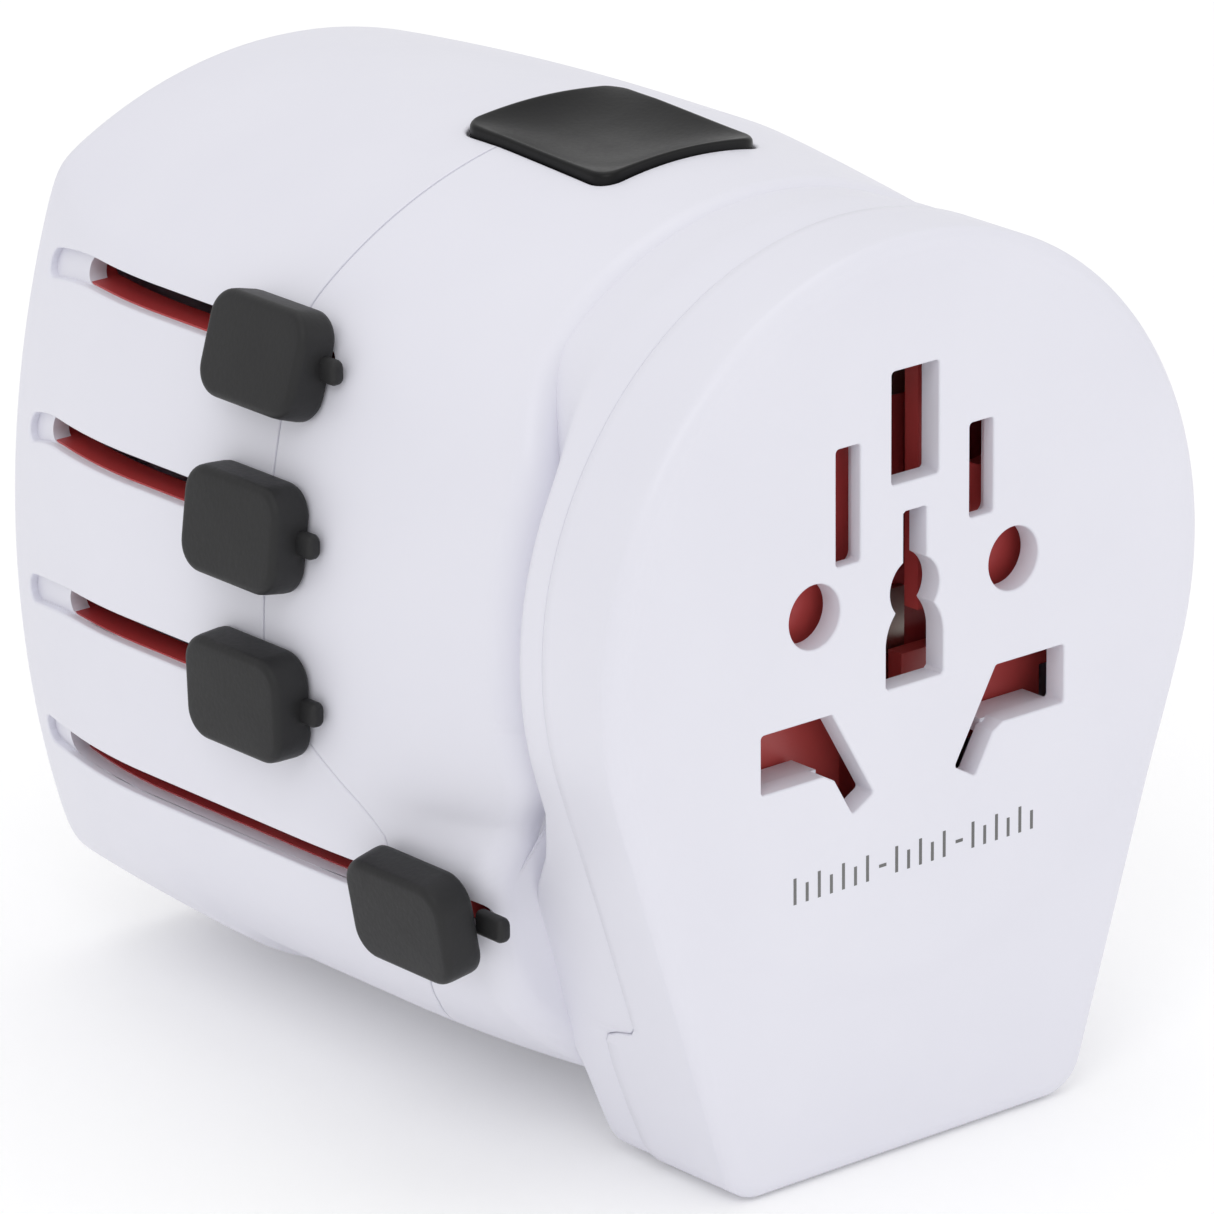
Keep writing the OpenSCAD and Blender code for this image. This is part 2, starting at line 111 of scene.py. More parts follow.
def material(name, tones, rough, bump=0.1, grain=900.0, patch=60.0, metal=0.0, coat=0.0, specular=0.5):
    """A moulded or metal surface: slow colour drift, a fine grain and slightly uneven gloss."""
    m = bpy.data.materials.new(name)
    m.use_nodes = True
    t = m.node_tree
    shader = t.nodes["Principled BSDF"]
    coords = t.nodes.new("ShaderNodeTexCoord")
    slow = t.nodes.new("ShaderNodeTexNoise")
    slow.inputs["Scale"].default_value = patch
    slow.inputs["Detail"].default_value = 3.0
    fine = t.nodes.new("ShaderNodeTexNoise")
    fine.inputs["Scale"].default_value = grain
    fine.inputs["Detail"].default_value = 2.0
    t.links.new(coords.outputs["Object"], slow.inputs["Vector"])
    t.links.new(coords.outputs["Object"], fine.inputs["Vector"])
    ramp = t.nodes.new("ShaderNodeValToRGB")
    ramp.color_ramp.elements[0].position = 0.3
    ramp.color_ramp.elements[1].position = 0.7
    ramp.color_ramp.elements[0].color = (*tones[0], 1)
    ramp.color_ramp.elements[1].color = (*tones[1], 1)
    t.links.new(slow.outputs["Fac"], ramp.inputs["Fac"])
    t.links.new(ramp.outputs["Color"], shader.inputs["Base Color"])
    gloss = t.nodes.new("ShaderNodeMapRange")
    gloss.inputs["To Min"].default_value = max(0.02, rough - GLOSS_SPREAD)
    gloss.inputs["To Max"].default_value = min(1.0, rough + GLOSS_SPREAD)
    t.links.new(fine.outputs["Fac"], gloss.inputs["Value"])
    t.links.new(gloss.outputs["Result"], shader.inputs["Roughness"])
    if bump:
        relief = t.nodes.new("ShaderNodeBump")
        relief.inputs["Strength"].default_value = bump
        relief.inputs["Distance"].default_value = GRAIN_DEPTH
        t.links.new(fine.outputs["Fac"], relief.inputs["Height"])
        t.links.new(relief.outputs["Normal"], shader.inputs["Normal"])
    shader.inputs["Metallic"].default_value = metal
    shader.inputs["Specular IOR Level"].default_value = specular
    shader.inputs["Coat Weight"].default_value = coat
    shader.inputs["Coat Roughness"].default_value = 0.25
    return m


casing = material("casing_white", [(0.745, 0.742, 0.815), (0.765, 0.762, 0.832)], 0.42,
                  bump=0.04, coat=0.06)
red = material("inner_red", [(0.43, 0.045, 0.05), (0.50, 0.06, 0.06)], 0.38, bump=0.08)
shutter_red = material("shutter_red", [(0.50, 0.062, 0.062), (0.58, 0.085, 0.08)], 0.35, bump=0.1)
rubber = material("knob_rubber", [(0.017, 0.017, 0.018), (0.024, 0.024, 0.025)], 0.5,
                  bump=0.35, grain=2600.0, specular=0.25)
button_black = material("button_black", [(0.0035, 0.0035, 0.004), (0.006, 0.006, 0.0065)], 0.33,
                        bump=0.2, grain=2600.0, specular=0.2)
frame_black = material("frame_black", [(0.035, 0.033, 0.036), (0.05, 0.048, 0.052)], 0.6, bump=0.3)
nickel = material("pin_nickel", [(0.70, 0.69, 0.67), (0.78, 0.77, 0.75)], 0.24,
                  bump=0.05, grain=1500.0, metal=1.0)
steel = material("screw_steel", [(0.52, 0.52, 0.53), (0.64, 0.64, 0.65)], 0.32, bump=0.1, metal=1.0)
brass = material("contact_metal", [(0.36, 0.33, 0.30), (0.48, 0.45, 0.41)], 0.36, bump=0.1, metal=1.0)
ink = material("print_grey", [(0.12, 0.12, 0.12), (0.17, 0.17, 0.17)], 0.6, bump=0.0)
floor_white = material("floor_white", [(0.93, 0.93, 0.93), (0.96, 0.96, 0.96)], 0.8, bump=0.0, patch=4.0)

CAD_LOOKS = {
    casing: ["plug_face"],
    red: ["us_carrier", "eu_carrier", "au_carrier", "uk_carrier"],
    shutter_red: ["upper_shutter", "lower_shutter"],
    frame_black: ["guide_frame", "latch_bar"],
    nickel: ["us_blades", "eu_pins", "au_blades", "uk_line_pins", "uk_earth_pin"],
    steel: ["upper_shutter_spring", "lower_shutter_spring", "button_spring", "plug_face_screws",
            "head_screws"],
    brass: ["live_contact", "neutral_contact", "earth_contact", "live_busbar", "neutral_busbar",
            "earth_busbar"],
}
for look, names in CAD_LOOKS.items():
    for name in names:
        node = frame["nodes"][name]
        for part in [node] + list(node.children_recursive):
            if part.type == "MESH":
                part.data.materials.clear()
                part.data.materials.append(look)

# ---- Mesh tools: everything is drawn in millimetres ----


def make(name, points, faces, look, angle=32):
    """A new piece from points in millimetres, smooth but for edges sharper than the angle."""
    mesh = bpy.data.meshes.new(name)
    mesh.from_pydata([tuple(float(c) / 1000 for c in p) for p in points], [], [tuple(f) for f in faces])
    mesh.validate()
    mesh.materials.append(look)
    piece = bpy.data.objects.new(name, mesh)
    bpy.context.collection.objects.link(piece)
    finish_shading(piece, angle)
    return piece


def finish_shading(piece, angle=32):
    for poly in piece.data.polygons:
        poly.use_smooth = True
    piece.data.set_sharp_from_angle(angle=math.radians(angle))


def loft(name, rings, look, loop=False, angle=32):
    """Joins rings of equal length into one skin, capped at both ends or closed on itself."""
    n = len(rings[0])
    points = [p for ring in rings for p in ring]
    faces = []
    count = len(rings)
    for k in range(count if loop else count - 1):
        a, b = k * n, ((k + 1) % count) * n
        for i in range(n):
            j = (i + 1) % n
            faces.append((a + i, a + j, b + j, b + i))
    if not loop:
        faces.append(tuple(range(n - 1, -1, -1)))
        faces.append(tuple(range((count - 1) * n, count * n)))
    piece = make(name, points, faces, look, angle)
    face_outwards(piece)
    return piece


def face_outwards(piece):
    """Turns every face of a closed piece to the outside."""
    b = bmesh.new()
    b.from_mesh(piece.data)
    bmesh.ops.recalc_face_normals(b, faces=b.faces)
    b.to_mesh(piece.data)
    b.free()


def cut(piece, cutter):
    """Takes the cutter out of the piece, and removes the cutter."""
    mod = piece.modifiers.new("cut", "BOOLEAN")
    mod.object = cutter
    mod.operation = "DIFFERENCE"
    mod.solver = "EXACT"
    bpy.context.view_layer.update()
    deps = bpy.context.evaluated_depsgraph_get()
    mesh = bpy.data.meshes.new_from_object(piece.evaluated_get(deps))
    piece.modifiers.clear()
    old = piece.data
    piece.data = mesh
    bpy.data.meshes.remove(old)
    bpy.data.objects.remove(cutter)
    finish_shading(piece)


def round_corners(points, radius, steps=5):
    """Rounds each corner of a closed outline."""
    out = []
    n = len(points)
    for i in range(n):
        p, a, b = points[i], points[i - 1], points[(i + 1) % n]
        u, v = a - p, b - p
        lu, lv = np.linalg.norm(u), np.linalg.norm(v)
        u, v = u / lu, v / lv
        half = 0.5 * math.acos(max(-1.0, min(1.0, float(u @ v))))
        reach = min(radius / math.tan(half), 0.45 * lu, 0.45 * lv)
        r = reach * math.tan(half)
        centre = p + (u + v) / np.linalg.norm(u + v) * (r / math.sin(half))
        s, e = p + u * reach - centre, p + v * reach - centre
        a0, a1 = math.atan2(s[1], s[0]), math.atan2(e[1], e[0])
        turn = (a1 - a0 + math.pi) % (2 * math.pi) - math.pi
        for k in range(steps + 1):
            a = a0 + turn * k / steps
            out.append(centre + r * np.array([math.cos(a), math.sin(a)]))
    return np.array(out)


def grow(points, d):
    """Moves a counter-clockwise outline outwards by d."""
    ahead = np.roll(points, -1, axis=0) - points
    behind = points - np.roll(points, 1, axis=0)
    ahead /= np.linalg.norm(ahead, axis=1)[:, None] + 1e-12
    behind /= np.linalg.norm(behind, axis=1)[:, None] + 1e-12
    n1 = np.column_stack([behind[:, 1], -behind[:, 0]])
    n2 = np.column_stack([ahead[:, 1], -ahead[:, 0]])
    normal = n1 + n2
    normal /= np.linalg.norm(normal, axis=1)[:, None] + 1e-12
    scale = 1.0 / np.maximum(0.5, np.sum(normal * n1, axis=1))
    return points + normal * (d * scale)[:, None]


def counter_clockwise(points):
    x, y = points[:, 0], points[:, 1]
    area = np.sum(x * np.roll(y, -1) - y * np.roll(x, -1))
    return points if area > 0 else points[::-1]


def fillet(radius, steps=5):
    """Depth and outward growth of a rounded edge, from the surface inwards."""
    angles = [math.pi / 2 * k / steps for k in range(steps + 1)]
    return [(radius * (1 - math.cos(a)), radius * (1 - math.sin(a))) for a in angles]


# ---- Case shape ----

SIDE_R, TOP_R, BELLY_R, MID_Z = 78.0, 39.6, 34.3, -8.0
TAPER_Y, TAPER_R = 53.0, 46.0
NECK_HALF_W, NECK_R, NECK_Z, NECK_END_Y, NECK_POWER = 26.7, 41.6, -2.0, 35.0, 1.9
SCOOP_Z, SCOOP_H, LOW_NARROWING = -20.5, 4.5, 2.2
REAR_START_Y, REAR_LENGTH = 45.0, 27.0
CROWN_END_Y, CROWN_LENGTH, CROWN_POWER = 36.5, 20.7, 1.1
CROWN_FRONT_TIGHTER, CROWN_FRONT_DROP = 11.1, 1.0
CROWN_REAR_TIGHTER, CROWN_REAR_DROP = 1.0, 1.3
BELLY_STEP, BELLY_STEP_Y, BELLY_STEP_LENGTH = 0.6, 51.2, 1.6
BELLY_FRONT_TIGHTER, BELLY_REAR_TIGHTER, BELLY_REAR_RISE = 1.4, 0.9, 0.44
CORNER_POWER = 75.0
ANGLES = np.linspace(0, 2 * math.pi, 360, endpoint=False) + math.radians(0.5)


def smooth_step(f):
    f = np.clip(f, 0, 1)
    return f * f * (3 - 2 * f)


def forward(y):
    """How far the case has narrowed towards the socket head, from 0 to 1."""
    return np.clip((NECK_END_Y - y) / (NECK_END_Y - CASE_Y0), 0, 1) ** NECK_POWER


def rearward(y):
    """How far the case has narrowed towards the plug face, from 0 to 1."""
    return np.clip((y - REAR_START_Y) / REAR_LENGTH, 0, 1.2) ** 2


def side_width(y, z, inset):
    """Half of the case's width: a barrel, scooped in towards the head above the lowest slot."""
    taper = TAPER_R - np.sqrt(TAPER_R ** 2 - np.clip(y - TAPER_Y, 0, 30) ** 2)
    barrel = HALF_W - taper - SIDE_R + np.sqrt(np.maximum(0, (SIDE_R - inset) ** 2 - (z - MID_Z) ** 2))
    neck = NECK_HALF_W - NECK_R + np.sqrt(np.maximum(0, (NECK_R - inset) ** 2 - (z - NECK_Z) ** 2))
    scooped = smooth_step((z - SCOOP_Z) / SCOOP_H)
    return barrel - forward(y) * ((barrel - neck) * scooped + LOW_NARROWING * (1 - scooped))


def crown(y):
    """Height of the crown's centre of curvature, and its radius, which is least near the head."""
    rounder = np.clip((CROWN_END_Y - y) / CROWN_LENGTH, 0, 1.2) ** CROWN_POWER
    radius = TOP_R - CROWN_FRONT_TIGHTER * rounder - CROWN_REAR_TIGHTER * rearward(y)
    return TOP - CROWN_FRONT_DROP * rounder - CROWN_REAR_DROP * rearward(y) - radius, radius


def belly(y):
    """Height of the belly's centre of curvature, and its radius, which steps up near the plug face."""
    step = BELLY_STEP * (1 - smooth_step((y - BELLY_STEP_Y) / BELLY_STEP_LENGTH))
    radius = BELLY_R - step - BELLY_FRONT_TIGHTER * forward(y) - BELLY_REAR_TIGHTER * rearward(y)
    return BOTTOM + BELLY_R + BELLY_REAR_RISE * rearward(y), radius


def along_ray(sine, centre, radius):
    """Distance from the middle of the case to a circle about a point straight above or below it."""
    z0 = centre - MID_Z
    return sine * z0 + np.sqrt(z0 * z0 * (sine * sine - 1) + radius ** 2)


def case_points(y, inset):
    """Outline of the case at that y (one value, or one for each angle), moved in by inset."""
    y = np.broadcast_to(np.asarray(y, float), ANGLES.shape)
    inset = np.broadcast_to(np.asarray(inset, float), ANGLES.shape)
    cosine, sine = np.abs(np.cos(ANGLES)) + 1e-6, np.sin(ANGLES)
    # The side's distance along each ray is found by halving; the crown's and the belly's are exact
    near, side = np.zeros(ANGLES.shape), np.full(ANGLES.shape, 90.0)
    for _ in range(32):
        middle = (near + side) / 2
        outside = middle * cosine > side_width(y, MID_Z + middle * sine, inset)
        side = np.where(outside, middle, side)
        near = np.where(outside, near, middle)
    centre, radius = crown(y)
    top = np.where(sine > 0, along_ray(sine, centre, radius - inset), 90.0)
    centre, radius = belly(y)
    low = np.where(sine < 0, along_ray(sine, centre, radius - inset), 90.0)
    t = (side ** -CORNER_POWER + top ** -CORNER_POWER + low ** -CORNER_POWER) ** (-1 / CORNER_POWER)
    return np.column_stack([t * np.cos(ANGLES), y, MID_Z + t * sine])


def side_surface(y, z):
    """Where the left side of the case is, as a negative x."""
    return -side_width(y, z, 0)


def top_surface(x, y):
    """Height of the crown."""
    centre, radius = crown(y)
    return centre + np.sqrt(radius ** 2 - x ** 2)


def seam(z):
    """The joint between the shells: straight down, forward under the third slot, back again below."""
    zs = [-60, -44, -37, -33.5, -30, -24, -21.5, -19, -9.6, -8.4, 60]
    low = SEAM_LOW_Y
    ys = [low + 9, low + 9, low + 6.5, low + 3, low + 0.4, low, low + 0.5, low + 1.9]
    ys += [SEAM_Y - 0.5, SEAM_Y, SEAM_Y]
    return np.interp(z, zs, ys)


SEAM = seam(case_points(30.0, 0.0)[:, 2])


def ease(n):
    """Steps from 0 to 1 that are close together at both ends."""
    return (1 - np.cos(np.linspace(0, math.pi, n))) / 2


def circle(y, r, cz):
    """A ring of the case's angles, round (0, cz)."""
    return np.column_stack([r * np.cos(ANGLES), np.full(len(ANGLES), y), cz + r * np.sin(ANGLES)])


def front_edge():
    """Where the front shell starts: further back over the crown and under the chin than at the sides."""
    crown_back, chin_back = 2.9, 2.3
    from_top = np.degrees(np.abs((ANGLES - math.pi / 2 + math.pi) % (2 * math.pi) - math.pi))
    over_crown, under_chin = smooth_step((55 - from_top) / 20), smooth_step((from_top - 100) / 12)
    return CASE_Y0 + crown_back * over_crown + chin_back * under_chin


def shell_rings(front):
    """The skin of the front or the rear shell: along the outside, then back along the inside."""
    groove, gap, neck_hole_r = 0.14, 0.05, 22.3
    rings = []
    if front:
        y0, end, edge = front_edge(), SEAM - gap, 2.1
        rings.append(circle(CASE_Y0 + WALL, neck_hole_r, HEAD_Z))
        rings.append(circle(CASE_Y0, neck_hole_r, HEAD_Z))
        rings.append(case_points(y0, edge + 0.6))
        for k in range(10):
            a = math.pi / 2 * k / 9
            rings.append(case_points(y0 + edge * (1 - math.cos(a)), edge * (1 - math.sin(a))))
        start = y0 + edge
        for f in ease(22)[1:]:
            rings.append(case_points(start + (end - groove - start) * f, 0))
        rings.append(case_points(end - groove / 3, groove / 3))
        rings.append(case_points(end, groove))
        rings.append(case_points(end, WALL))
        for f in ease(12)[::-1]:
            rings.append(case_points(y0 + WALL + (end - y0 - WALL) * f * 0.98, WALL + 1.5 * (1 - f)))
        return rings
    begin, end, edge, lip, lip_depth = SEAM + gap, CASE_Y1, 2.7, WALL + 1.4, 3.2
    rings.append(case_points(begin, WALL))
    rings.append(case_points(begin, groove))
    rings.append(case_points(begin + groove / 3, groove / 3))
    start = begin + groove
    for f in ease(46):
        rings.append(case_points(start + (end - edge - start) * f, 0))
    for k in range(1, 11):
        a = math.pi / 2 * k / 10
        rings.append(case_points(end - edge + edge * math.sin(a), edge * (1 - math.cos(a))))
    rings.append(case_points(end, lip - 0.25))
    rings.append(case_points(end - 0.08, lip - 0.08))
    rings.append(case_points(end - 0.25, lip))
    rings.append(case_points(end - lip_depth, lip))
    for f in ease(16)[::-1][1:]:
        rings.append(case_points(begin + (end - lip_depth - SEAM) * f, WALL))
    return rings


def stadium(y0, y1, half):
    """A slot's outline in y and z, around z = 0, with round ends."""
    rear, front = y1 - half, y0 + half
    along = np.linspace(0, 1, 42)[1:-1]
    out = []
    runs = ((rear, -90, front - rear, half), (front, 90, y1 - y0 - 2 * half, -half))
    for centre, first, away, side in runs:
        for a in (math.radians(first + 15 * k) for k in range(13)):
            out.append((centre + half * math.cos(a), half * math.sin(a)))
        out += [(centre + away * f, side) for f in along]
    return np.array(out)


def droop(y, slot):
    """How far a slot sinks past the end of its knob's travel: the upper three more than the lowest."""
    start, end, depth = slot["through"] - 2, 69, 1.25 if slot["z"] > LOWEST_SLOT_BELOW else 0.3
    return depth * np.clip((y - start) / (end - start), 0, 1.1) ** 1.8


def slot_cutter(slot, y0, y1, half, depth, edge):
    """A rounded cutter that goes into the left side to the given depth."""
    outline = stadium(y0, y1, half)
    rings = []
    levels = [(-1.0, edge)] + fillet(edge, 5) + [(depth, 0)]
    for d, g in levels:
        p = grow(outline, g)
        height = p[:, 1] + slot["z"] - droop(p[:, 0], slot)
        x = side_surface(p[:, 0], height) + d
        rings.append(np.column_stack([x, p[:, 0], height]))
    return loft("cutter", rings, casing)


# Each slot is cut through as far as "through", and is a shallow white recess on to "recess"
SLOT_HALF, LOWEST_SLOT_BELOW, SLOT_AHEAD = 1.1, -15, 9.9
RECESS_DEPTH, THROUGH_DEPTH = 0.75, 7.0
slots = {}
for key, through, recess in (("us", 63.0, 68.8), ("eu", 65.4, 68.6), ("au", 62.0, 68.6), ("uk", 65.4, 69.0)):
    lo, hi = limits(key + "_knob")
    slots[key] = {"z": (lo[2] + hi[2]) / 2 - KNOB_LIFT, "y0": hi[1] - SLOT_AHEAD,
                  "through": through, "recess": recess}

front_shell = loft("front_shell_skin", shell_rings(True), casing, loop=True)
rear_shell = loft("rear_shell_skin", shell_rings(False), casing, loop=True)
for s in slots.values():
    for shell in (front_shell, rear_shell):
        cut(shell, slot_cutter(s, s["y0"] - 0.3, s["recess"], SLOT_HALF, RECESS_DEPTH, 0.22))
        cut(shell, slot_cutter(s, s["y0"], s["through"], SLOT_HALF - 0.02, THROUGH_DEPTH, 0.1))


def button_outline(gap):
    """The button's plan view with rounded corners, in short steps so that it can follow the crown."""
    lo, hi = BUTTON[0][:2] - gap, BUTTON[1][:2] + gap
    corners = np.array([[hi[0], lo[1]], [hi[0], hi[1]], [lo[0], hi[1]], [lo[0], lo[1]]])
    dense = []
    rounded = round_corners(corners, 1.6, 8)
    n = len(rounded)
    for i in range(n):
        a, b = rounded[i], rounded[(i + 1) % n]
        k = max(1, int(np.linalg.norm(b - a) / 0.7))
        dense += [a + (b - a) * f / k for f in range(k)]
    return np.array(dense)


def button_cutter():
    """A cutter for the button's opening, with a rounded lip."""
    outline = button_outline(0.14)
    rings = []
    for d, g in [(-1.5, 0.3)] + fillet(0.3, 4) + [(8.0, 0)]:
        p = grow(outline, g)
        rings.append(np.column_stack([p[:, 0], p[:, 1], top_surface(p[:, 0], p[:, 1]) - d]))
    return loft("cutter", rings, casing)


for shell in (front_shell, rear_shell):
    cut(shell, button_cutter())
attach(front_shell, "case")
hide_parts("front_shell")
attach(rear_shell, "case")
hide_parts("rear_shell")

# Red liners stand in the slots, just under the white skin, and deeper in the lowest one
for key, s in slots.items():
    outer = stadium(s["y0"], s["through"] + 0.4, SLOT_HALF - 0.03)
    inner = stadium(s["y0"], s["through"] + 0.3, SLOT_HALF - 0.15)
    rings = []
    top, deep = (2.0, 4.5) if key == "uk" else (0.85, 3.4)
    for outline, depths in ((outer, (top, deep)), (inner, (deep, top))):
        for d in depths:
            height = outline[:, 1] + s["z"] - droop(outline[:, 0], s)
            x = side_surface(outline[:, 0], height) + d
            rings.append(np.column_stack([x, outline[:, 0], height]))
    liner = loft(key + "_slot_liner", rings, red, loop=True)
    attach(liner, "case")

# ---- Release button ----


def button_piece():
    """A thumb button with a raised rim and a dished top."""
    lo, hi = BUTTON
    mid = (lo[:2] + hi[:2]) / 2
    half = (hi[:2] - lo[:2]) / 2
    edge, dish_depth = 0.4, 1.9

    def skin(p, drop):
        u, v = (p[:, 0] - mid[0]) / half[0], (p[:, 1] - mid[1]) / half[1]
        dish = dish_depth * np.clip(1 - np.abs(u) ** 2.4, 0, 1) * np.clip(1 - np.abs(v) ** 2.8, 0, 1)
        return top_surface(p[:, 0], p[:, 1]) + BUTTON_OUT - dish - drop

    outline = button_outline(-0.02)
    rings = [np.column_stack([outline[:, 0], outline[:, 1], np.full(len(outline), lo[2])])]
    for k in range(7):
        a = math.pi / 2 * k / 6
        q = grow(outline, -edge * (1 - math.cos(a)))
        rings.append(np.column_stack([q[:, 0], q[:, 1], skin(q, edge * (1 - math.sin(a)))]))
    inner = grow(outline, -edge)
    for f in np.concatenate([np.linspace(0.96, 0.1, 22), [0.04]]):
        q = mid + (inner - mid) * f
        rings.append(np.column_stack([q[:, 0], q[:, 1], skin(q, 0)]))
    return loft("release_button_skin", rings, button_black, angle=50)


button = button_piece()
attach(button, "button")
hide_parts("release_button")

# ---- Thumb knobs ----


def knob_piece(key, rank, shift):
    """A flat rubber knob that stands square to the case's side, and the small tongue in front of it."""
    lo, hi = limits(key + "_knob")
    tab, thick, edge, corner_r = 1.4, 3.2, 0.65, 2.3
    length, height = hi[1] - lo[1] - tab - 0.2, hi[2] - lo[2]
    y_mid = (hi[1] + lo[1] + tab) / 2 + shift
    slot_z = slots[key]["z"]
    z_mid = slot_z - 0.45 + 0.22 * rank
    tilt = math.asin((z_mid - MID_Z) / SIDE_R)
    # The foot clears the widest part of the case that the knob passes
    widest_y = NECK_END_Y + 6
    foot = np.array([float(side_surface(max(y_mid, widest_y), z_mid)), y_mid, z_mid])
    outward = np.array([-math.cos(tilt), 0, math.sin(tilt)])
    upward = np.array([math.sin(tilt), 0, math.cos(tilt)])
    corners = np.array([[length, -height], [length, height], [-length, height], [-length, -height]]) / 2
    outline = counter_clockwise(round_corners(corners, corner_r, 10))

    def ring(p, out):
        return foot + p[:, :1] * [0, 1, 0] + p[:, 1:] * upward + out * outward

    foot_levels = ((-0.5, 0.12), (-0.16, 0.16), (-0.03, 0.35), (0, 0.7), (-0.06, thick - edge - 0.3))
    rings = [ring(grow(outline, g), out) for g, out in foot_levels]
    for k in range(9):
        a = math.pi / 2 * k / 8
        rings.append(ring(grow(outline, -0.1 - edge * (1 - math.cos(a))), thick - edge + edge * math.sin(a)))
    last = grow(outline, -0.1 - edge)
    for f, rise in ((0.93, 0.02), (0.75, 0.05), (0.4, 0.08), (0.05, 0.1)):
        rings.append(ring(last * f, thick + rise))
    body = loft(key + "_knob_skin", rings, rubber, angle=60)
    # The tongue: a small bar that lies in the slot ahead of the knob
    front = y_mid - length / 2
    x0 = float(side_surface(front, slot_z))
    outline = np.array([[-0.2, -0.95], [-1.3, -0.95], [-1.3, 0.95], [-0.2, 0.95]])
    outline = round_corners(outline, 0.45, 5)
    centre = np.array([-0.75, 0.0])
    rings = []
    for ahead, shrink in ((-1.2, 0), (1.1, 0), (1.35, 0.1), (1.5, 0.24), (1.6, 0.42)):
        q = centre + (outline - centre) * (1 - shrink / 0.9)
        rings.append(np.column_stack([x0 + q[:, 0], np.full(len(q), front - ahead), slot_z + q[:, 1]]))
    nub = loft(key + "_knob_tongue", rings, rubber, angle=60)
    return body, nub


for rank, (key, shift) in enumerate((("us", 0.9), ("eu", 0.6), ("au", -0.1), ("uk", -0.2))):
    for piece in knob_piece(key, rank, shift):
        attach(piece, key + "_slider")
        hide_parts(key + "_knob")

# ---- Socket head ----

CHIN_R, CHIN_X = 3.5, 14.0
CHIN_Z = COVER[0][2] + CHIN_R


def head_outline(inset):
    """The round head with its tapered chin, moved in by inset."""
    big, small = HEAD_R - inset, CHIN_R - inset
    dx, dz = CHIN_X, CHIN_Z - HEAD_Z
    tilt = math.atan2(dz, dx) + math.acos((HEAD_R - CHIN_R) / math.hypot(dx, dz))
    points = []
    for a in np.linspace(tilt, math.pi - tilt, 150):
        points.append((big * math.cos(a), HEAD_Z + big * math.sin(a)))
    # The straight sides have close steps where the cover's seam jogs
    steps = np.concatenate([np.linspace(0, 0.6, 14)[1:], np.linspace(0.6, 0.8, 44)[1:],
                            np.linspace(0.8, 1, 6)[1:-1]])
    a0 = np.array([big * math.cos(math.pi - tilt), HEAD_Z + big * math.sin(math.pi - tilt)])
    a1 = np.array([-CHIN_X + small * math.cos(math.pi - tilt), CHIN_Z + small * math.sin(math.pi - tilt)])
    left = [a0 + (a1 - a0) * f for f in steps]
    points += [tuple(p) for p in left]
    for a in np.linspace(math.pi - tilt, 1.5 * math.pi, 14):
        points.append((-CHIN_X + small * math.cos(a), CHIN_Z + small * math.sin(a)))
    for f in np.linspace(0, 1, 12)[1:-1]:
        points.append((-CHIN_X + 2 * CHIN_X * f, CHIN_Z - small))
    for a in np.linspace(1.5 * math.pi, 2 * math.pi + tilt, 14):
        points.append((CHIN_X + small * math.cos(a), CHIN_Z + small * math.sin(a)))
    points += [(-p[0], p[1]) for p in left[::-1]]
    return np.array(points)


def head_seam(z):
    """The cover's back edge, which steps back above the chin."""
    zs = [-60, -42.6, -38.8, -34.6, -32.6, -31.9, -31.4, -31.0, -30.4, -21, -9.8, 4, 60]
    ys = [9.75, 9.75, 10.6, 11.0, 10.85, 10.4, 9.2, 7.5, 7.0, 7.0, 7.35, COVER_D, COVER_D]
    return np.interp(z, zs, ys)


def head_ring(y, inset):
    """The head's outline at that y, moved in by one inset, or by one for each point."""
    p = head_outline(inset) if np.isscalar(inset) else grow(head_outline(0), -inset)
    return np.column_stack([p[:, 0], np.broadcast_to(y, len(p)), p[:, 1]])


def face_drop(p):
    """How far the face falls back near the rim, outside a flat disc."""
    flat_r, slope_w, fall = 25.9, 3.0, 0.42
    r = np.hypot(p[:, 0], p[:, 1] - HEAD_Z)
    return fall * smooth_step((r - flat_r) / slope_w)


def cover_piece():
    """The cover's skin: face, rounded rim, side and inside."""
    seam_line = head_seam(head_outline(0)[:, 1])
    rings = []
    edge, disc_r = 1.35, 24.6
    flat = head_outline(edge)
    angle = np.arctan2(flat[:, 1] - HEAD_Z, flat[:, 0])
    disc = np.column_stack([disc_r * np.cos(angle), HEAD_Z + disc_r * np.sin(angle)])
    for f in np.linspace(0, 1, 26):
        p = disc + (flat - disc) * f
        rings.append(np.column_stack([p[:, 0], face_drop(p), p[:, 1]]))
    for k in range(1, 11):
        a = math.pi / 2 * k / 10
        p = head_outline(edge * (1 - math.sin(a)))
        back = face_drop(flat) * math.cos(a) + edge * (1 - math.cos(a))
        rings.append(np.column_stack([p[:, 0], back, p[:, 1]]))
    for f in (0.3, 0.6, 0.85):
        rings.append(head_ring(edge + (seam_line - edge) * f, 0))
    rings.append(head_ring(seam_line - 0.12, 0))
    rings.append(head_ring(seam_line - 0.03, 0.05))
    rings.append(head_ring(seam_line, 0.14))
    rings.append(head_ring(seam_line, WALL))
    rings.append(head_ring(PLATE, WALL))
    return loft("socket_cover_skin", rings, casing)


def hole_cutter(outline, pocket=None):
    """A cutter through the face's plate, with a rounded lip, and wider behind a pocket's depth."""
    outline = counter_clockwise(np.array(outline, float))
    edge = 0.2
    levels = [(-1.0, edge)] + fillet(edge, 5)
    levels += [(pocket, 0), (pocket, 0.5), (PLATE + 1, 0.5)] if pocket else [(PLATE + 1, 0)]
    rings = []
    for d, g in levels:
        p = grow(outline, g)
        rings.append(np.column_stack([p[:, 0], np.full(len(p), d), p[:, 1]]))
    return loft("cutter", rings, casing)


